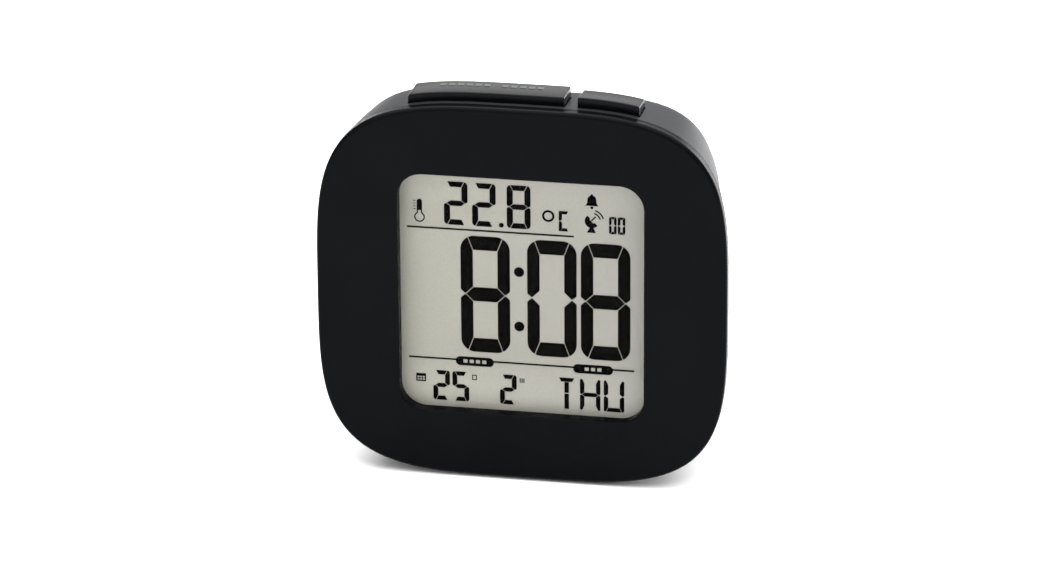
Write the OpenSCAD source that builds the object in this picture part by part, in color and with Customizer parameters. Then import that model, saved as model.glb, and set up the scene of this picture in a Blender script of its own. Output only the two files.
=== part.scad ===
// Travel alarm clock with a liquid crystal display, two top keys, four rear keys and two AAA cells.
// Frame: X to the right, Y to the back, Z up. The origin lies on the table, under the middle of the clock.
// Depths (d) are counted from the front face towards the back, heights (z) from the table.

/* [Body] */
// Width of the front bezel
body_w = 78; // [76:0.5:82]
// Height of the front bezel
body_h = 74; // [72:0.5:78]
// Depth from the front face to the flat back
case_depth = 30; // [30:0.5:34]
// Roundness of the outline: 2 is an ellipse, more is squarer
outline_power = 3.7; // [3.2:0.1:4.5]
// How square the outline's lower half is
lower_power = 3.9; // [3.5:0.1:4.3]
// How square the upper half of the housing is at its shoulder
rear_power = 4.7; // [3.7:0.1:5]
// Corners of the many-sided outline, a multiple of 4
outline_steps = 80; // [48:8:96]
// Thickness of the housing wall
wall = 1.8; // [1.5:0.1:2.2]
// How far the rubber feet lift the bezel off the table
foot_lift = 0.4; // [0.3:0.1:1]

/* [Housing shape] */
// Depth of the seam between bezel and rear housing
seam_d = 2.5; // [2.2:0.1:3]
// Radius of the rounded edge round the front face
bezel_round = 0.75; // [0.5:0.05:1]
// How much each side draws in per millimetre of depth, in front of the shoulder
side_slope = 0.3; // [0.15:0.01:0.3]
// How much each side draws in per millimetre of depth, behind the shoulder
side_slope_back = 0.11; // [0.1:0.01:0.2]
// How much the top falls per millimetre of depth, in front of the shoulder
top_draft = 0.09; // [0:0.01:0.1]
// Depth of the shoulder, where the top starts to fall away
shoulder_d = 15.8; // [15:0.1:16.5]
// Half length of the soft shoulder
shoulder_blend = 2.2; // [1.5:0.1:2.5]
// Slope of the top behind the shoulder
top_slope = 30; // [20:1:32]
// Radius of the rounded edge round the back
back_round = 2.5; // [2:0.1:3]

/* [Display] */
// Width of the window opening
window_w = 46.7; // [44:0.1:48]
// Height of the window opening
window_h = 47.4; // [44:0.1:49]
// Corner radius of the window opening
window_r = 4.8; // [3:0.1:6]
// How far the window sits below the middle of the face
window_drop = 0.5; // [0:0.1:2]
// Thickness of the bezel's front wall
face_wall = 1.8; // [1.5:0.1:2]
// Depth of the wall round the window, down to the lens
window_wall = 2.5; // [2.2:0.1:2.8]

/* [Keys] */
// How far the wide top key stands proud of the housing
snooze_proud = 1.6; // [1.3:0.05:2]
// How far the narrow top key stands proud of the housing
alarm_proud = 1.95; // [1.3:0.05:2]
// How much the wide key's top falls per millimetre of depth
snooze_draft = 0.02; // [0:0.01:0.1]
// Travel of the top keys
top_key_travel = 0.8; // [0.4:0.1:0.9]
// How far the rear keys stand proud of the back
rear_key_proud = 0.9; // [0.6:0.1:1.2]
// Travel of the rear keys
rear_key_travel = 0.6; // [0.3:0.1:0.7]
// Gap round every key
key_gap = 0.15; // [0.1:0.05:0.25]

/* [Battery] */
// Diameter of one AAA cell
cell_d = 10.5; // [10:0.1:10.5]
// Length of one AAA cell with its nub
cell_l = 44.5; // [43:0.1:44.5]

/* [Hidden] */
$fn = 48;

// Overall frame
front_y = -(case_depth + rear_key_proud) / 2;
mid_z = foot_lift + body_h / 2;
window_z = mid_z - window_drop;
through = 20;   // spare length of a tool that cuts right through
touch = 0.1;    // small step that keeps two stacked pieces apart

// Depths of the display stack, front to back
tape_t = 0.2;
lens_d = window_wall + tape_t;
lens_t = 0.8;
lcd_d = lens_d + lens_t + touch;
lcd_t = 2;
segment_t = 0.06;
film_t = 0.2;
guide_d = lcd_d + lcd_t + film_t;
guide_t = 2;
board_d = 9.2;
board_t = 1;
board_back = board_d + board_t;
lcd_w = 50.4;
lcd_h = 52.6;
guide_h = 45.6;
frame_wall = 1.2;
frame_gap = 0.1;

// Tongue of the bezel inside the rear housing
tongue_gap = 0.15;
tongue_t = 1.1;
tongue_d = 3.9;

// Case screws: the lower pair, then the upper pair
case_screw_at = [for (s = [-1, 1]) each [[s * 20, 6.7], [s * 28.9, 52]]];
case_seat_d = 10.8;
case_head_d = 13;
well_r = 2.1;
post_r = 3.5;
pillar_r = 2.1;
pilot_r = 0.8;
// Board screws, round the middle of the window
board_screw_at = [for (s = [-1, 1]) each [[s * 29.4, 19], [s * 29.4, 42]]];

// Top keys: first and last x, and the switch under each
top_key_front_d = 4.2;
snooze_back_d = 11.2;
alarm_back_d = 10.3;
snooze_x = [-21.8, 7.7];
alarm_x = [10.2, 21.75];
snooze_switch_x = -7.5;
alarm_switch_x = 15.6;
flange_t = 1.2;
flange_out = 0.9;
flange_gap = 0.85;
top_switch = [6, 3.2, 3.6];
top_switch_d = board_d - top_switch[1];
top_switch_z = 64.4;
plunger_r = 1.4;
plunger_gap = 0.1;
plunger_out = 0.8;
plunger_in = 1;

// Rear keys, on one row
rear_key_z = 42.8;
rear_key_x = [-16.5, -5.5, 5.5, 16.5];
rear_key_size = [8.4, 5];
rear_key_r = 1.6;
back_in_d = case_depth - wall;
rear_flange_d = back_in_d - 0.2;
key_board_d = 19.4;
key_board_t = 1.2;
key_board_back = key_board_d + key_board_t;
key_board_screw_x = 27.6;
rear_switch = [6, 3.2, 6];
reset_x = 23.4;
reset_r = 0.95;
reset_sunk = 0.6;

// Battery bay
bay_z = [12.2, 35.4];
bay_x = 25.2;
bay_d = 17;
bay_wall = 1.3;
cell_pitch = 11.4;
cell_z = [for (s = [-1, 1]) (bay_z[0] + bay_z[1]) / 2 + s * cell_pitch / 2];
cell_mid_d = bay_d + 0.3 + cell_d / 2;
door_t = 1.5;
door_rim = 0.9;
door_gap = 0.2;
door_r = 4;
contact_t = 0.4;
nub_l = 1;
spring_l = 2 * bay_x - 2 * contact_t - cell_l;

// Sounder, antenna and feet
buzzer_z = 54.5;
buzzer_r = 7.5;
antenna_z = 61.5;
antenna_d = 17.8;
antenna_r = 4;
antenna_l = 41;
coil_l = 18;
saddle_x = 15;
foot_x = 17;
foot_size = [8, 18, 2.1];
foot_front_d = 6;

shell_colour = [0.1, 0.1, 0.11];
board_colour = [0.1, 0.35, 0.18];
metal_colour = [0.75, 0.75, 0.72];

// ---------- Outline of the body ----------

function signed_power(v, p) = sign(v) * pow(abs(v), p);

// Points [x, z] of a superellipse with half width a between heights low and high
function outline(a, low, high, upper_power = outline_power) = [
    for (i = [0:outline_steps - 1])
        let (t = 360 * i / outline_steps, p = 2 / (sin(t) < 0 ? lower_power : upper_power))
        [a * signed_power(cos(t), p), (low + high) / 2 + (high - low) / 2 * signed_power(sin(t), p)]
];

// Height of the bezel's top edge at x
function top_edge(x) =
    mid_z + body_h / 2 * pow(1 - pow(abs(2 * x / body_w), outline_power), 1 / outline_power);

// Corner points of a strip that follows the top edge from x0 to x1, between two heights above that edge
function top_strip(x0, x1, low, high, steps = 12) = concat(
    [for (i = [0:steps]) let (x = x0 + (x1 - x0) * i / steps) [x, top_edge(x) + high]],
    [for (i = [steps:-1:0]) let (x = x0 + (x1 - x0) * i / steps) [x, top_edge(x) + low]]
);

// Grows from 0 with slope 1 behind the shoulder, through a soft bend
function bend(d) =
    let (u = d - shoulder_d, w = shoulder_blend) u < -w ? 0 : u > w ? u : pow(u + w, 2) / (4 * w);

function side_in(d) = side_slope * (d - seam_d) - (side_slope - side_slope_back) * bend(d);

function top_drop(d) = top_draft * (d - seam_d) + (tan(top_slope) - top_draft) * bend(d);

function upper_power(d) =
    outline_power + (rear_power - outline_power) * min(1, max(0, (d - seam_d) / (shoulder_d - seam_d)));

function edge_round(v, r) = v <= 0 ? 0 : r - sqrt(max(0, r * r - v * v));

// Ring of 3-D points round the housing at one depth, moved inwards by inset
function housing_ring(d, inset = 0) =
    let (r = edge_round(d - case_depth + back_round, back_round) + inset)
    [for (p = outline(body_w / 2 - side_in(d) - r, foot_lift + r, foot_lift + body_h - top_drop(d) - r,
        upper_power(d)))
        [p[0], front_y + d, p[1]]];

function bezel_ring(d, inset) =
    [for (p = outline(body_w / 2 - inset, foot_lift + inset, foot_lift + body_h - inset))
        [p[0], front_y + d, p[1]]];

// Solid skin through rings of equal length, from the front ring to the back ring
module loft(rings) {
    n = len(rings[0]);
    last = (len(rings) - 1) * n;
    polyhedron(
        points = [for (ring = rings, p = ring) p],
        faces = concat(
            [[for (i = [n - 1:-1:0]) i]],
            [[for (i = [0:n - 1]) last + i]],
            [for (k = [0:len(rings) - 2], i = [0:n - 1])
                each [[k * n + i, k * n + (i + 1) % n, (k + 1) * n + (i + 1) % n],
                    [k * n + i, (k + 1) * n + (i + 1) % n, (k + 1) * n + i]]]
        )
    );
}

// ---------- Helpers ----------

// A flat XZ shape made solid between two depths
module slab(d0, d1) {
    translate([0, front_y + d1, 0]) rotate([90, 0, 0]) linear_extrude(d1 - d0) children();
}

// A round rod along Y between two depths
module rod(x, z, r, d0, d1) {
    translate([x, front_y + d1, z]) rotate([90, 0, 0]) cylinder(r = r, h = d1 - d0);
}

// A block with its middle at x and z, between two depths
module block(x, z, w, h, d0, d1) {
    translate([x - w / 2, front_y + d0, z - h / 2]) cube([w, d1 - d0, h]);
}

module rounded_rectangle(w, h, r, sides = 48) {
    square([w - 2 * r, h], center = true);
    square([w, h - 2 * r], center = true);
    for (sx = [-1, 1], sy = [-1, 1]) translate([sx * (w / 2 - r), sy * (h / 2 - r)]) circle(r, $fn = sides);
}

module pad(x, z, w, h, r, d0, d1) {
    slab(d0, d1) translate([x, z]) rounded_rectangle(w, h, r);
}

// The housing's outline at depth d, moved inwards by inset. At the seam it is the bezel's outline too
module inset_outline(inset, d = seam_d) {
    polygon(outline(body_w / 2 - side_in(d) - inset, foot_lift + inset,
        foot_lift + body_h - top_drop(d) - inset,
        upper_power(d)));
}

// Round tube swept along hand-chosen points
module wire(route, r, sides = 8) {
    last = len(route) - 1;
    rings = [for (i = [0:last])
        let (
            along = route[min(i + 1, last)] - route[max(i - 1, 0)],
            t = along / norm(along),
            helper = abs(t[2]) > 0.8 ? [1, 0, 0] : [0, 0, 1],
            u = cross(helper, t) / norm(cross(helper, t)),
            v = cross(t, u)
        )
        [for (j = [0:sides - 1]) route[i] - r * (cos(360 * j / sides) * u + sin(360 * j / sides) * v)]];
    reversed = [for (ring = rings) [for (j = [sides - 1:-1:0]) ring[j]]];
    loft(reversed);
}

// Self-tapping screw along Y: pan head from d to the back, thread to the front
module screw(x, z, d, head_r, head_t, shank_r, shank_l) {
    difference() {
        union() {
            rod(x, z, head_r, d, d + head_t);
            rod(x, z, shank_r, d - shank_l, d + touch);
        }
        for (turn = [0, 90]) translate([x, front_y + d + head_t, z]) rotate([0, turn, 0])
            cube([head_r * 1.1, head_t, head_r * 0.3], center = true);
    }
}

// Push switch body with a round well for its plunger
module switch_body(size, well_d) {
    difference() {
        cube([size[0], size[1], size[2]], center = true);
        translate([0, 0, size[2] / 2 - well_d]) cylinder(r = plunger_r + plunger_gap, h = through);
    }
}

// ---------- Front bezel and display ----------

module front_bezel() color(shell_colour) {
    rounds = [0, 0.25, 0.5, 0.75, 1];
    difference() {
        union() {
            difference() {
                loft(concat(
                    [for (q = rounds) bezel_ring(bezel_round * q,
                        bezel_round - bezel_round * sqrt(1 - pow(1 - q, 2)))],
                    [bezel_ring(seam_d, 0)]
                ));
                slab(face_wall, seam_d + touch) inset_outline(wall + tongue_gap + tongue_t, tongue_d);
            }
            difference() {
                slab(seam_d - touch, tongue_d) inset_outline(wall + tongue_gap, tongue_d);
                slab(seam_d - 2 * touch, tongue_d + touch) inset_outline(wall + tongue_gap + tongue_t,
                    tongue_d);
            }
            pad(0, window_z, window_w + 4, window_h + 4, window_r + 2, face_wall - touch, window_wall);
            for (p = board_screw_at) rod(p[0], p[1], 2.1, face_wall - touch, board_d);
            for (p = case_screw_at) rod(p[0], p[1], pillar_r, face_wall - touch, case_seat_d);
        }
        pad(0, window_z, window_w, window_h, window_r, -1, through);
        for (p = board_screw_at) rod(p[0], p[1], pilot_r, 3, through);
        for (p = case_screw_at) rod(p[0], p[1], pilot_r, 3, through);
    }
}

module window_lens() color([0.85, 0.9, 0.9, 0.4])
    pad(0, window_z, window_w + 3, window_h + 3, window_r + 1.5, lens_d, lens_d + lens_t);

module lens_tape() color([0.15, 0.15, 0.15]) difference() {
    pad(0, window_z, window_w + 2.8, window_h + 2.8, window_r + 1.4, window_wall, lens_d);
    pad(0, window_z, window_w + 0.6, window_h + 0.6, window_r + 0.3, window_wall - 1, lens_d + 1);
}

module lcd_cell() color([0.7, 0.7, 0.64]) block(0, window_z, lcd_w, lcd_h, lcd_d, lcd_d + lcd_t);

module lcd_reflector() color([0.8, 0.8, 0.76])
    block(0, window_z, window_w, guide_h, lcd_d + lcd_t, lcd_d + lcd_t + film_t);

module light_guide() color([0.9, 0.93, 0.95, 0.6])
    block(0.8, window_z, window_w - 1.6, guide_h, guide_d, guide_d + guide_t);

module backlight_leds() color([0.95, 0.95, 0.85])
    for (s = [-1, 1]) block(-window_w / 2 + 0.5, window_z + s * 10, 1.6, 3.2, guide_d, board_d);

module display_frame() color([0.85, 0.85, 0.83]) {
    outer_w = lcd_w + 2 * frame_gap + 2 * frame_wall;
    outer_h = lcd_h + 2 * frame_gap + 2 * frame_wall - 1.5;
    difference() {
        block(0, window_z, outer_w, outer_h, lcd_d, board_d - touch);
        block(0, window_z, lcd_w + 2 * frame_gap, lcd_h + 2 * frame_gap, lcd_d - 1, guide_d);
        block(0, window_z, window_w + 0.6, lcd_h + 2 * frame_gap, lcd_d - 1, through);
    }
}

module zebra_strip(z) color([0.55, 0.55, 0.6])
    block(0, z, window_w - 1, 2, lcd_d + lcd_t, board_d);

module zebra_upper() zebra_strip(window_z + lcd_h / 2 - 1.2);

module zebra_lower() zebra_strip(window_z - lcd_h / 2 + 1.2);

// ---------- Display segments ----------

// Thin straight cut between two points, a little longer than their distance
module cut(p, q, w) {
    along = q - p;
    translate(p) rotate(atan2(along[1], along[0])) translate([-0.1 * norm(along), -w / 2])
        square([1.2 * norm(along), w]);
}

// Segment figure with its lower left corner at the origin. on lists the bars a to g, then the two middle
// uprights, as 1 or 0. size is one of the lists further down
module figure(on, size) {
    w = size[0];
    h = size[1];
    t = size[2];
    u = size[3];
    gap = size[4];
    r = size[5];
    m = h / 2;
    tip = 0.4 * t;
    out = 0.55 * t;
    notch = 0.3 * u;
    bars = [
        [[out, h], [w - out, h], [w - t, h - u], [t, h - u]],
        [[w, m + notch], [w, h], [w - out, h], [w - t, h - u], [w - t, m + u / 2], [w - tip, m]],
        [[w, m - notch], [w - tip, m], [w - t, m - u / 2], [w - t, u], [w - out, 0], [w, 0]],
        [[out, 0], [t, u], [w - t, u], [w - out, 0]],
        [[0, m - notch], [0, 0], [out, 0], [t, u], [t, m - u / 2], [tip, m]],
        [[0, m + notch], [tip, m], [t, m + u / 2], [t, h - u], [out, h], [0, h]],
        [[tip, m], [t, m - u / 2], [w - t, m - u / 2], [w - tip, m], [w - t, m + u / 2], [t, m + u / 2]],
        [[(w - t) / 2, m + gap], [(w + t) / 2, m + gap], [(w + t) / 2, h - u - gap],
            [(w - t) / 2, h - u - gap]],
        [[(w - t) / 2, 0], [(w + t) / 2, 0], [(w + t) / 2, m - gap], [(w - t) / 2, m - gap]]
    ];
    intersection() {
        difference() {
            union() for (i = [0:len(on) - 1]) if (on[i] == 1) polygon(bars[i]);
            for (x = [0, w], z = [0, h]) {
                sx = x == 0 ? 1 : -1;
                sz = z == 0 ? 1 : -1;
                cut([x + sx * t, z + sz * u], [x + sx * out, z], gap);
                cut([x + sx * t, m - sz * u / 2], [x + sx * tip, m], gap);
            }
        }
        translate([w / 2, m]) rounded_rectangle(w, h, r, 32);
    }
}

digit_0 = [1, 1, 1, 1, 1, 1, 0];
digit_2 = [1, 1, 0, 1, 1, 0, 1];
digit_5 = [1, 0, 1, 1, 0, 1, 1];
digit_8 = [1, 1, 1, 1, 1, 1, 1];
letter_c = [1, 0, 0, 1, 1, 1, 0];
letter_t = [1, 0, 0, 0, 0, 0, 0, 1, 1];
letter_h = [0, 1, 1, 0, 1, 1, 1];
letter_u = [0, 1, 1, 1, 1, 1, 0];

// Sizes of the figures: width, height, width of an upright and of a level bar, gap and corner radius
hour_size = [9.4, 23.4, 2.35, 2.8, 0.15, 2.7];
heat_size = [4.5, 8.6, 1.15, 1.05, 0.12, 0.8];
unit_size = [2.1, 4, 0.6, 0.6, 0.03, 0.15];
second_size = [1.4, 3.4, 0.48, 0.46, 0.05, 0.35];
date_size = [3.2, 6, 0.92, 0.82, 0.1, 0.5];
day_size = [3.9, 6.3, 0.84, 0.78, 0.1, 0.3];

// Every lit figure: its bars, x and z of its lower left corner from the middle of the face, and its size
figures = [
    [digit_8, -12.05, -13.1, hour_size], [digit_0, 0.65, -13.1, hour_size],
        [digit_8, 10.85, -13.1, hour_size],
    [digit_2, -15.1, 12.3, heat_size], [digit_2, -9.75, 12.3, heat_size], [digit_8, -3.15, 12.3, heat_size],
    [letter_c, 6.7, 12.35, unit_size],
    [digit_0, 16.2, 12.4, second_size], [digit_0, 17.85, 12.4, second_size],
    [digit_2, -17.55, -23.4, date_size], [digit_5, -13.85, -23.4, date_size],
        [digit_2, -4.7, -23.4, date_size],
    [letter_t, 6.15, -23.5, day_size], [letter_h, 10.65, -23.5, day_size], [letter_u, 15.2, -23.5, day_size]
];

// Dark pill with a row of light dashes standing in for a word
module pill(w, dashes) difference() {
    rounded_rectangle(w, 1.8, 0.88, 24);
    for (i = [0:dashes - 1]) translate([(i - (dashes - 1) / 2) * 1.2, 0]) square([0.8, 0.72], center = true);
}

module bell_icon() {
    translate([0, 0.4]) circle(0.82, $fn = 24);
    polygon([[-0.82, 0.4], [0.82, 0.4], [0.9, -0.35], [1.25, -0.85], [-1.25, -0.85], [-0.9, -0.35]]);
    translate([0, -1.2]) circle(0.28, $fn = 16);
    translate([0, 1.25]) circle(0.22, $fn = 16);
}

// Dish on a foot with two waves
module dish_icon() {
    difference() {
        circle(1.35, $fn = 32);
        rotate(-45) translate([-3, 0.15]) square([6, 4]);
        rotate(-45) translate([-0.55, -0.12]) square([1.1, 0.3]);
    }
    rotate(45) square([1.15, 0.26]);
    polygon([[-0.95, -2.3], [0.75, -2.3], [0.25, -1.25], [-0.35, -1.25]]);
    intersection() {
        union() for (r = [1.75, 2.35]) difference() {
            circle(r, $fn = 40);
            circle(r - 0.24, $fn = 40);
        }
        polygon([[0.2, 0.6], [1.1, 4], [4, 4], [4, 1.1], [0.6, 0.2]]);
    }
}

module thermometer_icon() {
    difference() {
        union() {
            circle(1.02, $fn = 32);
            translate([-0.5, 0]) square([1, 3.1]);
            translate([0, 3.1]) circle(0.5, $fn = 24);
        }
        circle(0.78, $fn = 32);
        translate([-0.28, 0]) square([0.56, 1.35]);
    }
    for (i = [0:3]) translate([-1.15, 1.5 + 0.55 * i]) square([0.4, 0.14]);
}

module calendar_icon() difference() {
    translate([-0.95, -0.85]) square([1.9, 1.6]);
    for (i = [0:2], j = [0, 1]) translate([-0.72 + 0.52 * i, -0.62 + 0.48 * j]) square([0.4, 0.34]);
}

module lcd_segments() color([0.06, 0.05, 0.04]) slab(lcd_d - segment_t, lcd_d) translate([0, mid_z]) {
    for (f = figures) translate([f[1], f[2]]) figure(f[0], f[3]);
    for (z = [-7.4, 3.6]) translate([-0.9, z]) circle(0.97, $fn = 32);
    translate([-4.2, 12.78]) circle(0.46, $fn = 24);
    translate([4.7, 15.2]) difference() {
        circle(1.17, $fn = 40);
        circle(0.76, $fn = 40);
    }
    translate([-22.25, 11.25]) square([31.8, 0.32]);
    difference() {
        translate([-22.2, -15.1]) square([43.2, 0.32]);
        translate([-13.1, -16]) square([7.2, 2]);
        translate([9.4, -16]) square([7.5, 2]);
    }
    translate([-9.5, -15.15]) pill(7.3, 4);
    translate([13.15, -15.15]) pill(7.6, 3);
    translate([12.95, 18.6]) bell_icon();
    translate([12.95, 14.7]) dish_icon();
    translate([-19.8, 13.45]) thermometer_icon();
    translate([-19.9, -19]) calendar_icon();
    translate([-9.6, -18.4]) difference() {
        square([0.9, 1.05], center = true);
        square([0.58, 0.73], center = true);
    }
    for (i = [-1, 0, 1]) translate([-0.45 + 0.36 * i, -18.4]) square([0.18, 0.9], center = true);
}

// ---------- Main board ----------

module main_board() color(board_colour) difference() {
    union() {
        pad(0, 36, 64, 48, 6, board_d, board_back);
        block(4, 63.5, 31, 8, board_d, board_back);
        block(0, 11, 47, 3.6, board_d, board_back);
    }
    for (p = board_screw_at) rod(p[0], p[1], 1.1, board_d - 1, board_back + 1);
    for (s = [-1, 1]) {
        rod(s * 28.9, 52, pillar_r + 0.3, board_d - 1, board_back + 1);
        block(s * 31.5, 52, 5, 2 * pillar_r + 0.6, board_d - 1, board_back + 1);
    }
}

module clock_chip() color([0.05, 0.05, 0.05]) {
    rod(0, 31, 6, board_back, board_back + 0.5);
    rod(0, 31, 5.2, board_back, board_back + 1);
    rod(0, 31, 4, board_back, board_back + 1.4);
}

module quartz_crystal() color(metal_colour) translate([14, front_y + board_back + 1.2, 46])
    rotate([0, 90, 0]) {
        cylinder(r = 1.05, h = 6);
        translate([0, 0, -0.6]) cylinder(r = 0.8, h = 0.7);
    }

module board_capacitors() color([0.15, 0.2, 0.4]) {
    rod(22, 26, 2.5, board_back, board_back + 5.5);
    for (x = [-14, -9, 12]) block(x, 24, 2, 1.2, board_back, board_back + 0.8);
    for (z = [30, 34, 38]) block(-16, z, 1.2, 2, board_back, board_back + 0.8);
}

module board_screws() color(metal_colour)
    for (p = board_screw_at) screw(p[0], p[1], board_back, 1.9, 1.3, pilot_r, 5);

module temperature_sensor() color([0.2, 0.12, 0.08]) {
    translate([26, front_y + board_back + 4, 20]) sphere(1.2);
    for (s = [-1, 1]) rod(26 + s * 0.6, 20, 0.25, board_back, board_back + 4);
}

// ---------- Top keys and their switches ----------

// Leans shapes along the top's fall of draft per millimetre of depth behind the seam
module follow_draft(draft = top_draft) {
    translate([0, 0, draft * seam_d]) multmatrix([
        [1, 0, 0, 0], [0, 1, 0, 0], [0, -draft, 1, draft * front_y], [0, 0, 0, 1]
    ]) children();
}

// Key cap that follows the curved top, with a flange under the wall and a stem down to the switch
module top_key(x, back_d, switch_x, proud, draft) {
    low = -wall - flange_gap - flange_t;
    color(shell_colour) {
        follow_draft(draft)
            slab(top_key_front_d, back_d) polygon(top_strip(x[0], x[1], low + 0.1, proud));
        follow_draft()
            slab(top_key_front_d + touch, back_d + flange_out)
                polygon(top_strip(x[0] - flange_out, x[1] + flange_out, low, -wall - flange_gap));
        stem_low = top_switch_z + top_switch[2] + plunger_out;
        stem_high = top_edge(switch_x) + low + 1;
        block(switch_x, (stem_low + stem_high) / 2, 2.6, stem_high - stem_low, top_switch_d + 0.3,
            board_d - 0.3);
    }
}

module top_plunger(x) color([0.9, 0.9, 0.88])
    translate([x, front_y + top_switch_d + top_switch[1] / 2, top_switch_z + top_switch[2] - plunger_in])
        cylinder(r = plunger_r, h = plunger_in + plunger_out);

module top_switch_body(x) color([0.25, 0.25, 0.27])
    translate([x, front_y + top_switch_d + top_switch[1] / 2, top_switch_z + top_switch[2] / 2])
        switch_body(top_switch, plunger_in + top_key_travel + touch);

module snooze_key() top_key(snooze_x, snooze_back_d, snooze_switch_x, snooze_proud, snooze_draft);

module snooze_plunger() top_plunger(snooze_switch_x);

module snooze_switch() top_switch_body(snooze_switch_x);

module alarm_key() top_key(alarm_x, alarm_back_d, alarm_switch_x, alarm_proud, top_draft);

module alarm_plunger() top_plunger(alarm_switch_x);

module alarm_switch() top_switch_body(alarm_switch_x);

// ---------- Rear housing ----------

outer_depths = [seam_d, 8, for (q = [-1:0.25:1]) shoulder_d + q * shoulder_blend, 22.5,
    case_depth - back_round,
    for (q = [0.35, 0.65, 0.87, 1]) case_depth - back_round + back_round * q];
inner_depths = [seam_d - touch, 8, for (q = [-1, 0, 1]) shoulder_d + q * shoulder_blend, 22.5,
    case_depth - back_round, back_in_d];

// Everything moulded inside the shell
module housing_posts() {
    for (p = case_screw_at) rod(p[0], p[1], post_r, case_seat_d, case_depth);
    block(0, (bay_z[0] + bay_z[1]) / 2, 2 * (bay_x + bay_wall), bay_z[1] - bay_z[0] + 2 * bay_wall,
        bay_d - bay_wall, case_depth);
    for (s = [-1, 1]) rod(s * key_board_screw_x, rear_key_z, 2.2, key_board_back, case_depth);
}

module top_key_slot(x, back_d) {
    block((x[0] + x[1]) / 2, foot_lift + body_h, x[1] - x[0] + 2 * key_gap, 12,
        top_key_front_d - key_gap, back_d + key_gap);
}

module rear_housing() color(shell_colour) difference() {
    loft([for (d = outer_depths) housing_ring(d)]);
    difference() {
        loft([for (d = inner_depths) housing_ring(d, wall)]);
        housing_posts();
    }
    top_key_slot(snooze_x, snooze_back_d);
    top_key_slot(alarm_x, alarm_back_d);
    block(0, (bay_z[0] + bay_z[1]) / 2, 2 * bay_x, bay_z[1] - bay_z[0], bay_d, case_depth);
    pad(0, (bay_z[0] + bay_z[1]) / 2, 2 * (bay_x + door_rim), bay_z[1] - bay_z[0] + 2 * door_rim, door_r,
        case_depth - door_t, case_depth + 1);
    for (x = rear_key_x) pad(x, rear_key_z, rear_key_size[0] + 2 * key_gap, rear_key_size[1] + 2 * key_gap,
        rear_key_r + key_gap, key_board_back, case_depth + 1);
    rod(reset_x, rear_key_z, reset_r + key_gap, key_board_back, case_depth + 1);
    rod(0, buzzer_z, 0.7, back_in_d - 1, case_depth + 1);
    for (i = [0:5], ring = [1, 2]) rotate_about_buzzer(60 * i + 30 * ring)
        rod(2.3 * ring, 0, 0.7, back_in_d - 1, case_depth + 1);
    for (p = case_screw_at) {
        rod(p[0], p[1], 1.2, case_seat_d - 1, case_depth);
        rod(p[0], p[1], well_r, case_head_d, case_depth + 1);
    }
    for (s = [-1, 1]) {
        rod(s * key_board_screw_x, rear_key_z, pilot_r, key_board_back - 1, key_board_back + 4.5);
        foot(s * foot_x);
    }
    for (z = cell_z) translate([-bay_x - 1, front_y + cell_mid_d - 0.9, z - 0.9]) cube([1.1, 1.8, 1.8]);
}

module rotate_about_buzzer(angle) {
    translate([0, 0, buzzer_z]) rotate([0, angle, 0]) children();
}

module foot(x) color([0.08, 0.08, 0.08]) translate([x, front_y + foot_front_d + foot_size[1] / 2, 0])
    linear_extrude(foot_size[2]) rounded_rectangle(foot_size[0], foot_size[1], 2.5);

module left_foot() foot(-foot_x);

module right_foot() foot(foot_x);

module battery_door() color(shell_colour) {
    w = 2 * (bay_x + door_rim - door_gap);
    mid = (bay_z[0] + bay_z[1]) / 2;
    h = bay_z[1] - bay_z[0] + 2 * (door_rim - door_gap);
    difference() {
        pad(0, mid, w, h, door_r - door_gap, case_depth - door_t, case_depth);
        for (i = [0:4]) block(0, bay_z[1] - 2.2 - 1.3 * i, 12 - 1.6 * i, 0.6, case_depth - 0.4,
            case_depth + 1);
    }
    for (s = [-1, 1]) block(s * 15, bay_z[1] - 0.65, 5, 0.9, case_depth - door_t - 2.4,
        case_depth - door_t + touch);
}

module case_screws() color(metal_colour)
    for (p = case_screw_at) screw(p[0], p[1], case_head_d, 1.9, 1.5, pilot_r, 7.5);

// ---------- Rear keys and their board ----------

module key_board() color(board_colour) difference() {
    block(0, rear_key_z, 62, 9, key_board_d, key_board_back);
    for (s = [-1, 1]) rod(s * key_board_screw_x, rear_key_z, 1.1, key_board_d - 1, key_board_back + 1);
}

module key_board_screws() color(metal_colour) for (s = [-1, 1])
    translate([0, 2 * (front_y + key_board_d), 0]) mirror([0, 1, 0])
        screw(s * key_board_screw_x, rear_key_z, key_board_d, 1.8, 1.2, pilot_r, 5);

module ribbon_cable() color([0.75, 0.75, 0.78]) {
    bend = [[board_back, 43.5], [board_back + 1, 45], [12, 46], [15, 45.5], [17.5, 43], [key_board_d, 41.5]];
    lift = 0.35;
    translate([-8, front_y, 0]) rotate([90, 0, 90]) linear_extrude(16)
        polygon(concat(bend, [for (i = [len(bend) - 1:-1:0]) bend[i] + [0, lift]]));
}

switch_rear_d = key_board_back + rear_switch[1];

module rear_switch_body(x) translate([x, front_y + key_board_back + rear_switch[1] / 2, rear_key_z])
    rotate([-90, 0, 0]) switch_body([rear_switch[0], rear_switch[2], rear_switch[1]],
        plunger_in + rear_key_travel + touch);

module rear_switches() color([0.25, 0.25, 0.27]) for (x = rear_key_x) rear_switch_body(x);

module rear_plunger(x) color([0.9, 0.9, 0.88])
    rod(x, rear_key_z, plunger_r, switch_rear_d - plunger_in, switch_rear_d + plunger_out);

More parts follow.
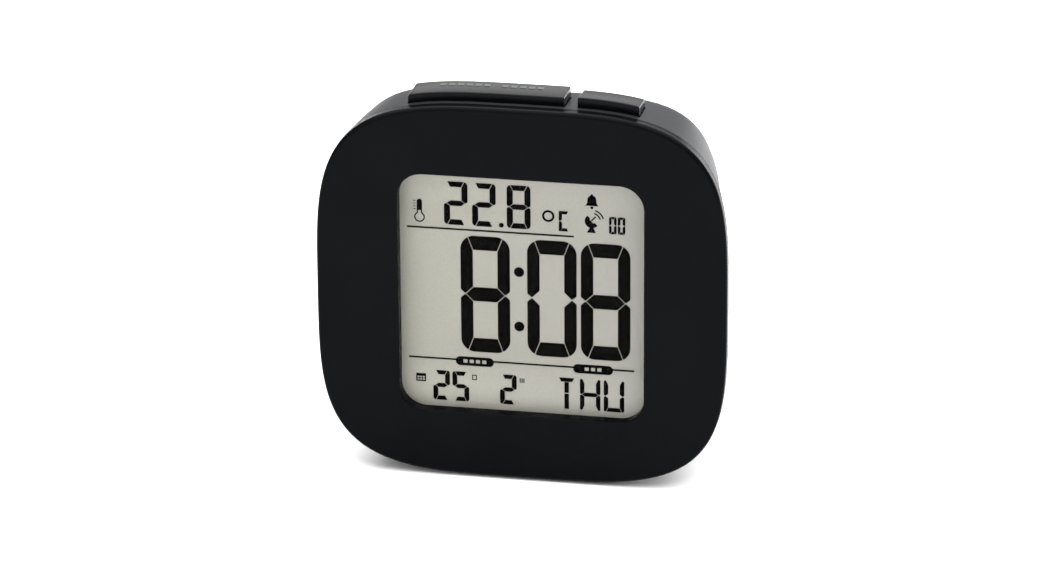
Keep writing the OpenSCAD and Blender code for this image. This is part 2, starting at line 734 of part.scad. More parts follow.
// Cap through the back wall, flange behind it and stem to the plunger
module rear_key(x) color(shell_colour) {
    pad(x, rear_key_z, rear_key_size[0], rear_key_size[1], rear_key_r, rear_flange_d - 1,
        case_depth + rear_key_proud);
    pad(x, rear_key_z, rear_key_size[0] + 1, rear_key_size[1] + 1, rear_key_r + 0.5, rear_flange_d - 1,
        rear_flange_d);
    block(x, rear_key_z, 3, 3, switch_rear_d + plunger_out, rear_flange_d - 1 + touch);
}

module mode_key() rear_key(rear_key_x[0]);

module set_key() rear_key(rear_key_x[1]);

module up_key() rear_key(rear_key_x[2]);

module down_key() rear_key(rear_key_x[3]);

module mode_plunger() rear_plunger(rear_key_x[0]);

module set_plunger() rear_plunger(rear_key_x[1]);

module up_plunger() rear_plunger(rear_key_x[2]);

module down_plunger() rear_plunger(rear_key_x[3]);

module reset_pin() color([0.8, 0.8, 0.78]) {
    rod(reset_x, rear_key_z, reset_r, switch_rear_d + plunger_out, case_depth - reset_sunk);
    rod(reset_x, rear_key_z, 1.7, rear_flange_d - 1, rear_flange_d);
}

module reset_plunger() color([0.9, 0.9, 0.88])
    rod(reset_x, rear_key_z, 0.8, switch_rear_d - plunger_in, switch_rear_d + plunger_out);

module reset_switch() color([0.25, 0.25, 0.27]) difference() {
    block(reset_x, rear_key_z, 4, 5, key_board_back, switch_rear_d);
    rod(reset_x, rear_key_z, 0.9, switch_rear_d - plunger_in - rear_key_travel - touch, switch_rear_d + 1);
}

// ---------- Radio receiver ----------

module radio_board() color([0.1, 0.25, 0.45]) {
    block(-18.4, 50, 12, 12, board_back + 1.5, board_back + 2.3);
    block(-18.4, 49, 5, 4, board_back + 2.3, board_back + 3.4);
    for (z = [46, 50, 54]) block(-23.4, z, 0.6, 0.6, board_back, board_back + 1.5);
}

module antenna_rod() color([0.2, 0.2, 0.22])
    translate([-antenna_l / 2, front_y + antenna_d, antenna_z]) rotate([0, 90, 0])
        cylinder(r = antenna_r, h = antenna_l);

module antenna_coil() color([0.7, 0.35, 0.15])
    translate([-coil_l / 2, front_y + antenna_d, antenna_z]) rotate([0, 90, 0]) difference() {
        cylinder(r = antenna_r + 0.6, h = coil_l);
        translate([0, 0, -1]) cylinder(r = antenna_r + 0.02, h = coil_l + 2);
    }

module antenna_saddles() color([0.85, 0.85, 0.83]) for (s = [-1, 1]) difference() {
    union() {
        translate([s * saddle_x - 1.5, front_y + antenna_d, antenna_z]) rotate([0, 90, 0])
            cylinder(r = antenna_r + 1.2, h = 3);
        block(s * saddle_x, 58.5, 3, 3.6, board_back, antenna_d);
    }
    translate([s * saddle_x - 3, front_y + antenna_d, antenna_z]) rotate([0, 90, 0])
        cylinder(r = antenna_r + 0.02, h = 6);
}

antenna_lead_route = [[-8, 17.8, 56.9], [-8, 17.8, 55.8], [-10, 17, 54.6], [-14, 15, 53.6], [-17, 13.4, 53],
    [-17, 12.5, 53]];

module antenna_lead() color([0.7, 0.35, 0.15])
    wire([for (p = antenna_lead_route) [p[0], front_y + p[1], p[2]]], 0.25);

// ---------- Sounder ----------

module buzzer_ring() color([0.85, 0.85, 0.83]) difference() {
    rod(0, buzzer_z, buzzer_r + 1, back_in_d - 3, back_in_d);
    rod(0, buzzer_z, buzzer_r - 0.5, back_in_d - 4, back_in_d + 1);
    rod(0, buzzer_z, buzzer_r, back_in_d - 4, back_in_d - 2.3);
}

module piezo_disc() color([0.8, 0.65, 0.3]) {
    rod(0, buzzer_z, buzzer_r - 0.02, back_in_d - 2.6, back_in_d - 2.3);
    rod(0, buzzer_z, 5, back_in_d - 2.8, back_in_d - 2.6);
}

buzzer_lead_route = [[3, 25.4, 53], [3, 24, 53], [5.5, 20, 52.6], [9, 15, 51.4], [10.5, 11.6, 50],
    [10.5, 10.2, 50]];

module buzzer_lead() color([0.7, 0.1, 0.1])
    wire([for (p = buzzer_lead_route) [p[0], front_y + p[1], p[2]]], 0.4);

// ---------- Battery ----------

// One AAA cell along X with its nub to the right (way 1) or to the left (way -1)
module cell(z, way) {
    translate([way * (bay_x - contact_t), front_y + cell_mid_d, z]) rotate([0, -90 * way, 0]) {
        color([0.72, 0.6, 0.35]) cylinder(r = 1.9, h = nub_l + touch);
        color([0.12, 0.2, 0.3]) translate([0, 0, nub_l]) cylinder(r = cell_d / 2, h = cell_l - nub_l);
    }
}

// Tapered coil spring between a cell's flat end and its contact
module cell_spring(z, way) color(metal_colour) {
    turns = 3;
    steps = 14;
    wire_r = 0.3;
    start = way * (bay_x - contact_t);
    wire([for (i = [0:turns * steps])
        let (q = i / (turns * steps), r = 3.6 - 1.2 * q, a = 360 * turns * q)
        [start - way * (wire_r + (spring_l - 2 * wire_r - 0.02) * q), front_y + cell_mid_d + r * cos(a),
            z + r * sin(a)]
    ], wire_r);
}

module contact_plate(x0, z0, z1) color(metal_colour)
    translate([x0, front_y + cell_mid_d - 4.2, z0]) cube([contact_t, 8.4, z1 - z0]);

module upper_cell() cell(cell_z[1], 1);

module lower_cell() cell(cell_z[0], -1);

module upper_spring() cell_spring(cell_z[1], -1);

module lower_spring() cell_spring(cell_z[0], 1);

module link_contact() contact_plate(-bay_x, cell_z[0] - 4.2, cell_z[1] + 4.2);

module positive_contact() contact_plate(bay_x - contact_t, cell_z[1] - 4.2, cell_z[1] + 4.2);

module negative_contact() contact_plate(bay_x - contact_t, cell_z[0] - 4.2, cell_z[0] + 4.2);

red_lead_route = [[26.5, 20, 31], [27.4, 20, 31], [28.4, 18.8, 31], [28.4, 14, 29.6], [27, 11.8, 28.4],
    [27, 10.2, 28.4]];
black_lead_route = [[26.5, 20, 14.5], [27.4, 20, 14.5], [28.4, 18.8, 14.5], [28.2, 14, 14.7],
    [25.5, 11.8, 15], [25.5, 10.2, 15]];

module red_lead() color([0.7, 0.08, 0.06]) wire([for (p = red_lead_route) [p[0], front_y + p[1], p[2]]], 0.5);

module black_lead() color([0.06, 0.06, 0.06])
    wire([for (p = black_lead_route) [p[0], front_y + p[1], p[2]]], 0.5);

// ---------- Nodes ----------

front_bezel();
window_lens();
lens_tape();
lcd_cell();
lcd_segments();
lcd_reflector();
light_guide();
backlight_leds();
display_frame();
zebra_upper();
zebra_lower();
main_board();
clock_chip();
quartz_crystal();
board_capacitors();
board_screws();
temperature_sensor();
snooze_key();
snooze_plunger();
snooze_switch();
alarm_key();
alarm_plunger();
alarm_switch();
rear_housing();
battery_door();
left_foot();
right_foot();
case_screws();
key_board();
key_board_screws();
ribbon_cable();
rear_switches();
mode_key();
set_key();
up_key();
down_key();
mode_plunger();
set_plunger();
up_plunger();
down_plunger();
reset_pin();
reset_plunger();
reset_switch();
radio_board();
antenna_rod();
antenna_coil();
antenna_saddles();
antenna_lead();
piezo_disc();
buzzer_ring();
buzzer_lead();
upper_cell();
lower_cell();
upper_spring();
lower_spring();
link_contact();
positive_contact();
negative_contact();
red_lead();
black_lead();
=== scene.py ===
"""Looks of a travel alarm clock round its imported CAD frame.

Lengths are in millimetres, except in materials, lights and modifiers, which take metres.
"""

import math

import bmesh
import bpy
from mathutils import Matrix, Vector


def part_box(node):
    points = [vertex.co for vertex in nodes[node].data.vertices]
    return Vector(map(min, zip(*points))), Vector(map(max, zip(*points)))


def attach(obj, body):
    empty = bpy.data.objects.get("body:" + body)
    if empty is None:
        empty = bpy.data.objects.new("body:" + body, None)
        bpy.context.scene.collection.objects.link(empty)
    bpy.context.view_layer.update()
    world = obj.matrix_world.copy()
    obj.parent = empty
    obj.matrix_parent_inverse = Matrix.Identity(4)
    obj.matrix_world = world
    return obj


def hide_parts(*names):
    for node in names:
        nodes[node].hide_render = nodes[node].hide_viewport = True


MM = 0.001

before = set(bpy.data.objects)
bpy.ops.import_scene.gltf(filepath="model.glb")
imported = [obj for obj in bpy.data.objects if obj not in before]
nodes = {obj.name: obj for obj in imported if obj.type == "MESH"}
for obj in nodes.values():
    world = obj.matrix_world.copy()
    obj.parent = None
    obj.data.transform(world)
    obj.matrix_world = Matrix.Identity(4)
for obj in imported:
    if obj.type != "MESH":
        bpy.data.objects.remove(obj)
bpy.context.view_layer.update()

# ---------- The frame's own places ----------

bezel_low, bezel_high = (v / MM for v in map(Vector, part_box("front_bezel")))
FRONT_Y = bezel_low.y
MID_Z = (bezel_low.z + bezel_high.z) / 2
BODY_W = bezel_high.x - bezel_low.x
BODY_H = bezel_high.z - bezel_low.z
OUTLINE_POWER, LOWER_POWER = 3.7, 3.9
SEAM_D = 2.5
BEZEL_ROUND = 0.75
WALL = 1.8
WINDOW_W, WINDOW_H, WINDOW_R = 46.7, 47.4, 4.8
WINDOW_Z = MID_Z - 0.5
WINDOW_WALL = 2.5
OUTLINE_SAMPLES, CORNER_STEPS = 6000, 64
LONGEST_STEP = 0.25


# ---------- Outlines ----------

def rays(points, count):
    """Where count evenly turned rays from the window's centre meet a closed outline."""
    polar = sorted((math.atan2(z - WINDOW_Z, x) % math.tau, math.hypot(x, z - WINDOW_Z))
                   for x, z in points)
    polar = [(polar[-1][0] - math.tau, polar[-1][1])] + polar + [(polar[0][0] + math.tau, polar[0][1])]
    out, i = [], 0
    for k in range(count):
        t = math.tau * k / count
        while polar[i + 1][0] < t:
            i += 1
        (t0, r0), (t1, r1) = polar[i], polar[i + 1]
        r = r0 + (r1 - r0) * (t - t0) / (t1 - t0)
        out.append((r * math.cos(t), WINDOW_Z + r * math.sin(t)))
    return out


def body_outline(inset, count):
    """The body's superellipse, moved inwards."""
    a, b = BODY_W / 2 - inset, BODY_H / 2 - inset
    points = []
    for i in range(OUTLINE_SAMPLES):
        t = math.tau * i / OUTLINE_SAMPLES
        p = 2 / (LOWER_POWER if math.sin(t) < 0 else OUTLINE_POWER)
        points.append((a * math.copysign(abs(math.cos(t)) ** p, math.cos(t)),
                       MID_Z + b * math.copysign(abs(math.sin(t)) ** p, math.sin(t))))
    return rays(points, count)


def long_sides(points):
    """Adds points along every side that is longer than LONGEST_STEP."""
    out = []
    for a, b in zip(points, points[1:] + points[:1]):
        cuts = max(1, math.ceil(math.dist(a, b) / LONGEST_STEP))
        out += [(a[0] + (b[0] - a[0]) * k / cuts, a[1] + (b[1] - a[1]) * k / cuts) for k in range(cuts)]
    return out


def window_outline(grow, count):
    """The window's rounded rectangle, moved outwards."""
    r = WINDOW_R + grow
    points = []
    for corner, (sx, sz) in enumerate([(1, 1), (-1, 1), (-1, -1), (1, -1)]):
        for k in range(CORNER_STEPS + 1):
            t = math.radians(90 * corner + 90 * k / CORNER_STEPS)
            points.append((sx * (WINDOW_W / 2 - WINDOW_R) + r * math.cos(t),
                           WINDOW_Z + sz * (WINDOW_H / 2 - WINDOW_R) + r * math.sin(t)))
    return rays(long_sides(points), count)


# ---------- Mesh helpers ----------

WELD_DISTANCE = 2e-6


def new_object(name, mesh):
    obj = bpy.data.objects.new(name, mesh)
    bpy.context.scene.collection.objects.link(obj)
    return obj


def mesh_object(name, verts, faces):
    """Mesh from points in millimetres, with normals turned outwards."""
    mesh = bpy.data.meshes.new(name)
    mesh.from_pydata([(x * MM, y * MM, z * MM) for x, y, z in verts], [], faces)
    bm = bmesh.new()
    bm.from_mesh(mesh)
    bmesh.ops.recalc_face_normals(bm, faces=bm.faces)
    bm.to_mesh(mesh)
    bm.free()
    return new_object(name, mesh)


def ring_faces(rings, count, closed_section=False):
    """Quads between rings of count points each. A closed section joins the last ring to the first."""
    faces = []
    for k in range(rings if closed_section else rings - 1):
        a, b = k * count, (k + 1) % rings * count
        for i in range(count):
            j = (i + 1) % count
            faces.append((a + i, a + j, b + j, b + i))
    return faces


def smooth_group(angle):
    """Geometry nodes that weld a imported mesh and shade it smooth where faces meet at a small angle."""
    name = f"smooth_{angle}"
    if name in bpy.data.node_groups:
        return bpy.data.node_groups[name]
    tree = bpy.data.node_groups.new(name, "GeometryNodeTree")
    tree.interface.new_socket("Geometry", in_out="INPUT", socket_type="NodeSocketGeometry")
    tree.interface.new_socket("Geometry", in_out="OUTPUT", socket_type="NodeSocketGeometry")
    add, link = tree.nodes.new, tree.links.new
    start, end = add("NodeGroupInput"), add("NodeGroupOutput")
    weld = add("GeometryNodeMergeByDistance")
    weld.inputs["Distance"].default_value = WELD_DISTANCE
    faces, edges = add("GeometryNodeSetShadeSmooth"), add("GeometryNodeSetShadeSmooth")
    faces.domain, edges.domain = "FACE", "EDGE"
    edge_angle, compare = add("GeometryNodeInputMeshEdgeAngle"), add("FunctionNodeCompare")
    compare.operation = "LESS_THAN"
    compare.inputs["B"].default_value = math.radians(angle)
    link(start.outputs[0], weld.inputs["Geometry"])
    link(weld.outputs["Geometry"], faces.inputs["Geometry"])
    link(faces.outputs["Geometry"], edges.inputs["Geometry"])
    link(edge_angle.outputs["Unsigned Angle"], compare.inputs["A"])
    link(compare.outputs["Result"], edges.inputs["Shade Smooth"])
    link(edges.outputs["Geometry"], end.inputs[0])
    return tree


def smooth(obj, angle=30):
    modifier = obj.modifiers.new("smooth", "NODES")
    modifier.node_group = smooth_group(angle)
    return obj


def bevel(obj, width, segments=3, angle=35):
    modifier = obj.modifiers.new("bevel", "BEVEL")
    modifier.width = width * MM
    modifier.segments = segments
    modifier.limit_method = "ANGLE"
    modifier.angle_limit = math.radians(angle)
    modifier.harden_normals = False
    return obj


# ---------- Materials ----------

# Plastics less shiny than COOL_BELOW reflect with a cool tint
COOL_TINT, COOL_BELOW = (0.88, 0.92, 1.0, 1.0), 0.2
DISPLAY_HALF_W = 0.024
# Painted light: the display brightens towards its upper and lower borders, from the first height to the
# second
BORDER_FROM, BORDER_TO, BORDER_PAINTED_LIGHT_GAIN = 0.015, 0.0235, 1.32
BAND_FROM, BAND_TO = 0.0095, 0.0097


class Shader:
    """A node material under construction; every call adds one node."""

    def __init__(self, name):
        self.material = bpy.data.materials.new(name)
        self.material.use_nodes = True
        self.tree = self.material.node_tree
        self.principled = self.tree.nodes["Principled BSDF"]
        self.coords = None

    def set(self, **values):
        for key, value in values.items():
            self.principled.inputs[key.replace("_", " ")].default_value = value
        return self

    def node(self, kind, links=(), **values):
        n = self.tree.nodes.new(kind)
        for key, value in values.items():
            if hasattr(n, key):
                setattr(n, key, value)
            else:
                n.inputs[key.replace("_", " ")].default_value = value
        for socket, source in dict(links).items():
            self.tree.links.new(source, n.inputs[socket])
        return n

    def link(self, source, socket):
        self.tree.links.new(source, self.principled.inputs[socket])
        return self

    def place(self):
        if self.coords is None:
            self.coords = self.node("ShaderNodeTexCoord").outputs["Object"]
        return self.coords

    def noise(self, scale, detail=3.0, roughness=0.55):
        return self.node("ShaderNodeTexNoise", {"Vector": self.place()}, Scale=scale, Detail=detail,
                         Roughness=roughness).outputs["Fac"]

    def ramp(self, source, low, high, start=0.35, stop=0.65):
        """Maps a factor to a colour between low and high."""
        n = self.node("ShaderNodeValToRGB", {"Fac": source})
        n.color_ramp.elements[0].position, n.color_ramp.elements[1].position = start, stop
        n.color_ramp.elements[0].color, n.color_ramp.elements[1].color = (*low, 1), (*high, 1)
        return n.outputs["Color"]

    def span(self, source, low, high, start=0.0, stop=1.0):
        """Maps start to low and stop to high."""
        n = self.node("ShaderNodeMapRange", {"Value": source}, From_Min=start, From_Max=stop,
                      To_Min=low, To_Max=high)
        return n.outputs["Result"]

    def mix(self, factor, a, b):
        n = self.node("ShaderNodeMix", data_type="RGBA")
        self.tree.links.new(factor, n.inputs["Factor"])
        for socket, source in ((6, a), (7, b)):
            if isinstance(source, tuple):
                n.inputs[socket].default_value = (*source, 1)
            else:
                self.tree.links.new(source, n.inputs[socket])
        return n.outputs[2]

    def bump(self, source, strength, distance):
        n = self.node("ShaderNodeBump", {"Height": source}, Strength=strength, Distance=distance * MM)
        return self.link(n.outputs["Normal"], "Normal")


def moulded(name, low, high, rough, specular, grain=0.012, grain_scale=4200.0):
    """Moulded plastic: slight cloudiness between two colours, and a fine spark-eroded grain."""
    s = Shader(name)
    s.link(s.ramp(s.noise(60.0, 2.0), low, high), "Base Color")
    s.link(s.span(s.noise(900.0, 2.0), rough[0], rough[1]), "Roughness")
    s.bump(s.noise(grain_scale, 2.0, 0.6), 0.35, grain)
    s.set(Specular_IOR_Level=specular)
    if specular < COOL_BELOW:
        s.set(Specular_Tint=COOL_TINT)
    return s.material


def metal(name, low, high, rough, scale=300.0):
    """Drawn or plated metal, with fine uneven tarnish."""
    s = Shader(name)
    s.link(s.ramp(s.noise(scale), low, high), "Base Color")
    s.link(s.span(s.noise(scale * 6), rough[0], rough[1]), "Roughness")
    s.bump(s.noise(scale * 10), 0.2, 0.01)
    return s.set(Metallic=1.0).material


def lcd_material():
    """Satin polariser over a silvered film: warm grey, with painted shade making it a little darker
    towards its right side, and painted light brightening its upper and lower borders.
    """
    s = Shader("lcd_polariser")
    place = s.node("ShaderNodeSeparateXYZ", {"Vector": s.place()})
    across = s.span(place.outputs["X"], 0.0, 1.0, -DISPLAY_HALF_W, DISPLAY_HALF_W)
    # Painted shade: the grey darkens from left to right across the display.
    tone_with_painted_shade = s.ramp(across, (0.328, 0.322, 0.276), (0.302, 0.296, 0.268), 0.0, 1.0)
    height = s.node("ShaderNodeMath", {0: place.outputs["Z"]}, operation="SUBTRACT")
    height.inputs[1].default_value = MID_Z * MM
    away = s.node("ShaderNodeMath", {0: height.outputs[0]}, operation="ABSOLUTE")
    # Painted light: base colour raised near the upper and lower borders, where the window's recess shades
    # the display.
    painted_border_light = s.span(away.outputs[0], 1.0, BORDER_PAINTED_LIGHT_GAIN, BORDER_FROM, BORDER_TO)
    speckle = s.ramp(s.noise(2600.0, 2.0), (0.93, 0.93, 0.93), (1.0, 1.0, 1.0))
    n = s.node("ShaderNodeMix", data_type="RGBA", blend_type="MULTIPLY")
    n.inputs["Factor"].default_value = 1.0
    s.tree.links.new(tone_with_painted_shade, n.inputs[6])
    s.tree.links.new(speckle, n.inputs[7])
    lit = s.node("ShaderNodeVectorMath", {0: n.outputs[2]}, operation="SCALE")
    s.tree.links.new(painted_border_light, lit.inputs["Scale"])
    s.link(lit.outputs["Vector"], "Base Color")
    s.link(s.span(s.noise(500.0), 0.38, 0.46), "Roughness")
    s.bump(s.noise(5000.0), 0.15, 0.004)
    return s.set(Specular_IOR_Level=0.15).material


def lens_material():
    """Clear acrylic, seen only by its reflections."""
    s = Shader("clear_window")
    s.set(Base_Color=(0.02, 0.02, 0.02, 1), Alpha=0.012)
    s.link(s.span(s.noise(200.0), 0.03, 0.06), "Roughness")
    s.material.surface_render_method = "BLENDED"
    return s.material


def ink_material():
    """Switched-on segments: almost black, with no gloss of their own."""
    s = Shader("lcd_ink")
    s.link(s.ramp(s.noise(1500.0), (0.0011, 0.001, 0.0008), (0.0015, 0.0014, 0.0012)), "Base Color")
    s.link(s.span(s.noise(600.0), 0.5, 0.6), "Roughness")
    return s.set(Specular_IOR_Level=0.02).material


def board_material():
    """Green solder mask over faintly raised tracks."""
    s = Shader("solder_mask")
    wave = s.node("ShaderNodeTexWave", {"Vector": s.place()}, Scale=220.0, Distortion=6.0)
    tracks = wave.outputs["Fac"]
    s.link(s.ramp(tracks, (0.008, 0.075, 0.03), (0.02, 0.14, 0.055), 0.45, 0.55), "Base Color")
    s.link(s.span(s.noise(700.0), 0.25, 0.4), "Roughness")
    s.bump(tracks, 0.3, 0.03)
    return s.material


def cell_material(name, nub):
    """Printed sleeve of a cell: dark blue and glossy, with a copper band towards its nub, at +X or -X."""
    s = Shader(name)
    x = s.node("ShaderNodeSeparateXYZ", {"Vector": s.place()}).outputs["X"]
    band = s.span(x, 0.0, 1.0, nub * BAND_FROM, nub * BAND_TO)
    blue = s.ramp(s.noise(90.0), (0.012, 0.03, 0.09), (0.016, 0.04, 0.11))
    s.link(s.mix(band, blue, (0.55, 0.24, 0.1)), "Base Color")
    s.link(s.span(s.noise(400.0), 0.22, 0.32), "Roughness")
    s.bump(s.noise(1200.0), 0.1, 0.02)
    return s.set(Metallic=0.35).material


# Each row: name, darker and lighter colour, least and most roughness, specular level, then grain
face_black = moulded("bezel_satin", (0.0019, 0.0021, 0.0025), (0.0025, 0.0027, 0.0032), (0.23, 0.29), 0.04)
# Painted light: the case's black is several times lighter than the bezel's, standing in for strong light
# falling on its top surfaces.
case_black_painted_top_light = moulded("case_satin", (0.0165, 0.0172, 0.0195), (0.019, 0.0198, 0.0222), (0.38, 0.44), 0.1)
key_black = moulded("key_satin", (0.0008, 0.0008, 0.0009), (0.0011, 0.0011, 0.0012), (0.2, 0.26), 0.115)
dash_black = moulded("key_dashes", (0.03, 0.031, 0.033), (0.04, 0.041, 0.043), (0.3, 0.4), 0.4)
rubber = moulded("foot_rubber", (0.012, 0.012, 0.012), (0.02, 0.02, 0.02), (0.75, 0.85), 0.3,
                 0.03, 1500.0)
tape = moulded("window_tape", (0.006, 0.006, 0.006), (0.009, 0.009, 0.009), (0.7, 0.8), 0.2)
white_plastic = moulded("white_plastic", (0.62, 0.61, 0.57), (0.7, 0.69, 0.65), (0.4, 0.5), 0.5)
black_epoxy = moulded("black_epoxy", (0.008, 0.008, 0.008), (0.014, 0.014, 0.014), (0.3, 0.5), 0.5,
                      0.04, 600.0)
elastomer = moulded("elastomer", (0.16, 0.16, 0.18), (0.22, 0.22, 0.24), (0.7, 0.8), 0.3)
film = moulded("reflector_film", (0.6, 0.6, 0.56), (0.66, 0.66, 0.62), (0.25, 0.35), 0.5)
guide = moulded("light_guide", (0.7, 0.76, 0.8), (0.76, 0.82, 0.86), (0.1, 0.2), 0.5)
led = moulded("led_body", (0.7, 0.66, 0.4), (0.8, 0.76, 0.5), (0.2, 0.3), 0.5)
ferrite = moulded("ferrite", (0.02, 0.02, 0.022), (0.035, 0.035, 0.038), (0.5, 0.7), 0.5, 0.05, 1200.0)
component = moulded("component_body", (0.03, 0.025, 0.06), (0.05, 0.04, 0.09), (0.3, 0.4), 0.5)
red_jacket = moulded("red_jacket", (0.35, 0.015, 0.01), (0.42, 0.025, 0.015), (0.35, 0.45), 0.5)
black_jacket = moulded("black_jacket", (0.01, 0.01, 0.01), (0.016, 0.016, 0.016), (0.35, 0.45), 0.5)
grey_jacket = moulded("grey_jacket", (0.4, 0.4, 0.43), (0.5, 0.5, 0.53), (0.35, 0.45), 0.5)
steel = metal("nickel_steel", (0.55, 0.54, 0.5), (0.68, 0.67, 0.63), (0.2, 0.35))
copper = metal("enamelled_copper", (0.5, 0.17, 0.06), (0.65, 0.25, 0.1), (0.25, 0.4), 2000.0)
brass = metal("rolled_brass", (0.6, 0.42, 0.14), (0.72, 0.52, 0.2), (0.25, 0.4))
board = board_material()

LOOKS = {
    case_black_painted_top_light: ["rear_housing", "battery_door", "mode_key", "set_key", "up_key", "down_key"],
    rubber: ["left_foot", "right_foot"],
    tape: ["lens_tape"],
    white_plastic: ["display_frame", "snooze_plunger", "alarm_plunger", "mode_plunger", "set_plunger",
                    "up_plunger", "down_plunger", "reset_pin", "reset_plunger", "antenna_saddles",
                    "buzzer_ring"],
    black_epoxy: ["clock_chip", "snooze_switch", "alarm_switch", "rear_switches", "reset_switch"],
    elastomer: ["zebra_upper", "zebra_lower"],
    film: ["lcd_reflector"],
    guide: ["light_guide"],
    led: ["backlight_leds"],
    ferrite: ["antenna_rod"],
    component: ["board_capacitors", "temperature_sensor"],
    red_jacket: ["red_lead", "buzzer_lead"],
    black_jacket: ["black_lead"],
    grey_jacket: ["ribbon_cable"],
    steel: ["quartz_crystal", "board_screws", "case_screws", "key_board_screws", "upper_spring",
            "lower_spring", "link_contact", "positive_contact", "negative_contact"],
    copper: ["antenna_coil", "antenna_lead"],
    brass: ["piezo_disc"],
    board: ["main_board", "key_board", "radio_board"],
    cell_material("upper_sleeve", 1): ["upper_cell"],
    cell_material("lower_sleeve", -1): ["lower_cell"],
    lcd_material(): ["lcd_cell"],
    lens_material(): ["window_lens"],
    ink_material(): ["lcd_segments"],
}


def wear(obj, material):
    obj.data.materials.clear()
    obj.data.materials.append(material)
    return obj


for material, names in LOOKS.items():
    for name in names:
        wear(nodes[name], material)
        smooth(nodes[name])


# ---------- Front bezel ----------

BEZEL_POINTS = 480
BACK_IN = WALL + 1.2
RIM_ROUND, FACE_EDGE = 0.35, 0.15
LEDGE_OUT = 2
# Steps of the bezel's softened back edge: inset, and distance in front of the seam
SEAM_EDGE = [(0.25, 0), (0.06, 0.08), (0, 0.2)]


def front_bezel():
    """Frame with a rounded outer edge, a rounded window rim and a ledge behind the window's wall."""
    rings = []

    def add(outline, depth):
        rings.append([(x, FRONT_Y + depth, z) for x, z in outline])

    def body(inset):
        return body_outline(inset, BEZEL_POINTS)

    def window(grow):
        return window_outline(grow, BEZEL_POINTS)

    add(body(BACK_IN), SEAM_D)
    for inset, rise in SEAM_EDGE:
        add(body(inset), SEAM_D - rise)
    add(body(0), BEZEL_ROUND + 0.1)
    for k in range(9):
        t = math.radians(90 * k / 8)
        add(body(BEZEL_ROUND * (1 - math.cos(t))), BEZEL_ROUND * (1 - math.sin(t)))
    outer, inner = body(BEZEL_ROUND + FACE_EDGE), window(RIM_ROUND + 0.1)
    for k in range(7):
        f = k / 6
        add([(a[0] + (b[0] - a[0]) * f, a[1] + (b[1] - a[1]) * f) for a, b in zip(outer, inner)], 0)
    for k in range(7):
        t = math.radians(90 * k / 6)
        add(window(RIM_ROUND * (1 - math.sin(t))), RIM_ROUND * (1 - math.cos(t)))
    add(window(0), WINDOW_WALL)
    add(window(LEDGE_OUT), WINDOW_WALL)
    add(window(LEDGE_OUT), WALL)
    add(body(BACK_IN), WALL)
    obj = mesh_object("bezel_moulding", [p for ring in rings for p in ring],
                      ring_faces(len(rings), BEZEL_POINTS, closed_section=True))
    return smooth(wear(obj, face_black), 30)


bezel = front_bezel()
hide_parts("front_bezel")
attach(bezel, "case")

# ---------- Top keys ----------

KEY_FRONT_D, KEY_SUNK = 4.2, 1.4
KEY_ROUND, KEY_STATIONS = 0.35, 40
SNOOZE_X, SNOOZE_BACK_D, SNOOZE_PROUD, SNOOZE_DRAFT = (-21.8, 7.7), 11.2, 1.6, 0.02
ALARM_X, ALARM_BACK_D, ALARM_PROUD, ALARM_DRAFT = (10.2, 21.75), 10.3, 1.95, 0.09
DASH_START, DASH_PITCH, DASH_W, DASH_COUNT, DASH_GAP_AT = -16.6, 1.68, 1.2, 12, 6
DASH_D = (8.0, 9.3)
DASH_SUNK, DASH_PROUD = 0.1, 0.08


def top_edge(x):
    """Height of the body's crown at x."""
    return MID_Z + BODY_H / 2 * (1 - abs(2 * x / BODY_W) ** OUTLINE_POWER) ** (1 / OUTLINE_POWER)


def rounded_profile(low, high, front, back, radius):
    """Section of a key from front to back, as depths and heights, with its two upper corners rounded."""
    out = [(front, low)]
    for start, cx in ((180, front + radius), (90, back - radius)):
        for k in range(7):
            t = math.radians(start - 90 * k / 6)
            out.append((cx + radius * math.cos(t), high - radius + radius * math.sin(t)))
    return out + [(back, low)]


def top_key(name, span, back, proud, draft, node, body):
    """Cap that follows the housing's crown, with rounded edges on all four sides of its top."""
    x0, x1 = span
    turns = [math.radians(15 * k) for k in range(7)]
    ends = [(x0 + KEY_ROUND * (1 - math.cos(t)), KEY_ROUND * (1 - math.sin(t))) for t in turns]
    middle = [(x0 + KEY_ROUND + (x1 - x0 - 2 * KEY_ROUND) * k / KEY_STATIONS, 0.0)
              for k in range(1, KEY_STATIONS)]
    stations = ends + middle + [(x0 + x1 - x, inset) for x, inset in reversed(ends)]
    rings = []
    for x, inset in stations:
        high, low = top_edge(x) + proud - inset, top_edge(x) - WALL - KEY_SUNK
        profile = rounded_profile(low, high, KEY_FRONT_D, back, KEY_ROUND)
        rings.append([(x, FRONT_Y + d, z - draft * (d - SEAM_D)) for d, z in profile])
    count = len(rings[0])
    faces = ring_faces(len(rings), count)
    faces += [tuple(range(count)), tuple(range((len(rings) - 1) * count, len(rings) * count))]
    obj = wear(mesh_object(name, [p for ring in rings for p in ring], faces), key_black)
    smooth(obj, 35)
    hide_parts(node)
    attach(obj, body)
    return obj


def snooze_dashes():
    """A row of low dashes moulded on the wide key, in two groups."""
    verts, faces = [], []
    for k in range(DASH_COUNT):
        if k == DASH_GAP_AT:
            continue
        a = len(verts)
        start = DASH_START + DASH_PITCH * k
        for x in (start, start + DASH_W):
            for d in DASH_D:
                z = top_edge(x) + SNOOZE_PROUD - SNOOZE_DRAFT * (d - SEAM_D)
                verts += [(x, FRONT_Y + d, z - DASH_SUNK), (x, FRONT_Y + d, z + DASH_PROUD)]
        faces += [(a, a + 1, a + 3, a + 2), (a + 4, a + 6, a + 7, a + 5), (a, a + 4, a + 5, a + 1),
                  (a + 2, a + 3, a + 7, a + 6), (a + 1, a + 5, a + 7, a + 3), (a, a + 2, a + 6, a + 4)]
    obj = bevel(wear(mesh_object("snooze_dashes", verts, faces), dash_black), 0.05, 2)
    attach(obj, "snooze_key_body")
    return obj


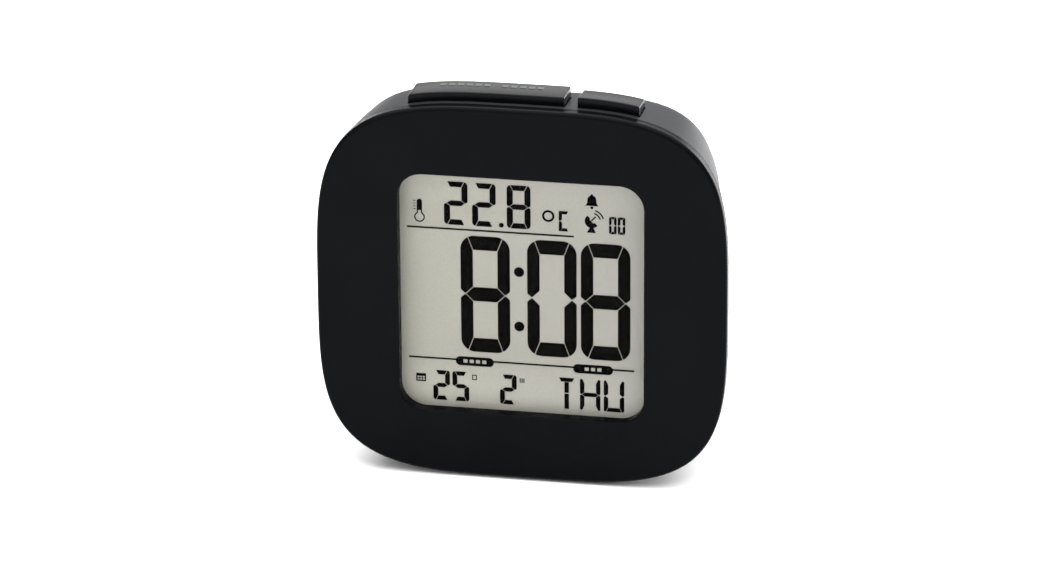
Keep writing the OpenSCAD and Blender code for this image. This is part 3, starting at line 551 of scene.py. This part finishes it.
top_key("snooze_cap", SNOOZE_X, SNOOZE_BACK_D, SNOOZE_PROUD, SNOOZE_DRAFT, "snooze_key",
        "snooze_key_body")
snooze_dashes()
top_key("alarm_cap", ALARM_X, ALARM_BACK_D, ALARM_PROUD, ALARM_DRAFT, "alarm_key", "alarm_key_body")

# ---------- Floor, camera and light ----------

FLOOR_HALF = 4000


def pale_floor():
    """Wide matt ground, almost white."""
    corners = [(x * FLOOR_HALF, y * FLOOR_HALF, 0) for x, y in ((-1, -1), (1, -1), (1, 1), (-1, 1))]
    s = Shader("pale_floor")
    s.link(s.ramp(s.noise(3.0), (0.93, 0.93, 0.93), (0.95, 0.95, 0.95)), "Base Color")
    s.set(Roughness=0.9, Specular_IOR_Level=0.0)
    return wear(mesh_object("floor", corners, [(0, 1, 2, 3)]), s.material)


pale_floor()

AZIMUTH, ELEVATION, ROLL = 10.9, 21.7, 0.35
DISTANCE, LENS, SENSOR_W = 1000.0, 184.5, 36
WORLD_STRENGTH = 0.5
AIM = Vector((0.53, FRONT_Y, MID_Z + 2.8))

az, el = math.radians(AZIMUTH), math.radians(ELEVATION)
away = Vector((math.sin(az) * math.cos(el), -math.cos(az) * math.cos(el), math.sin(el)))
camera_data = bpy.data.cameras.new("camera")
camera_data.lens = LENS
camera_data.sensor_width = SENSOR_W
camera_data.clip_start, camera_data.clip_end = 0.05, 20
camera = new_object("camera", camera_data)
camera.location = (AIM + away * DISTANCE) * MM
camera.rotation_euler = (-away).to_track_quat("-Z", "Y").to_euler()
camera.rotation_euler.rotate_axis("Z", math.radians(-ROLL))
bpy.context.scene.camera = camera

world = bpy.data.worlds.new("studio")
world.use_nodes = True
world.node_tree.nodes["Background"].inputs["Color"].default_value = (1, 1, 1, 1)
world.node_tree.nodes["Background"].inputs["Strength"].default_value = WORLD_STRENGTH
bpy.context.scene.world = world


def softbox(name, place, aim, size, power):
    """Rectangular light, in metres and watts."""
    data = bpy.data.lights.new(name, "AREA")
    data.shape = "RECTANGLE"
    data.size, data.size_y = size
    data.energy = power
    light = new_object(name, data)
    light.location = place
    light.rotation_euler = (Vector(aim) - Vector(place)).to_track_quat("-Z", "Y").to_euler()


softbox("front_light", (-0.5, -1.1, 1.0), (0, 0, 0.04), (1.6, 1.4), 10.0)
softbox("top_light", (0.1, 0.15, 1.3), (0, 0, 0.05), (2.6, 2.2), 62.0)
softbox("back_light", (0.3, 1.5, 0.6), (0, 0, 0.06), (2.0, 0.5), 4.5)
softbox("right_light", (0.8, 1.15, 0.36), (0, 0, 0.06), (0.6, 0.6), 12.0)

bpy.context.scene.view_settings.view_transform = "Standard"
bpy.context.scene.view_settings.look = "None"
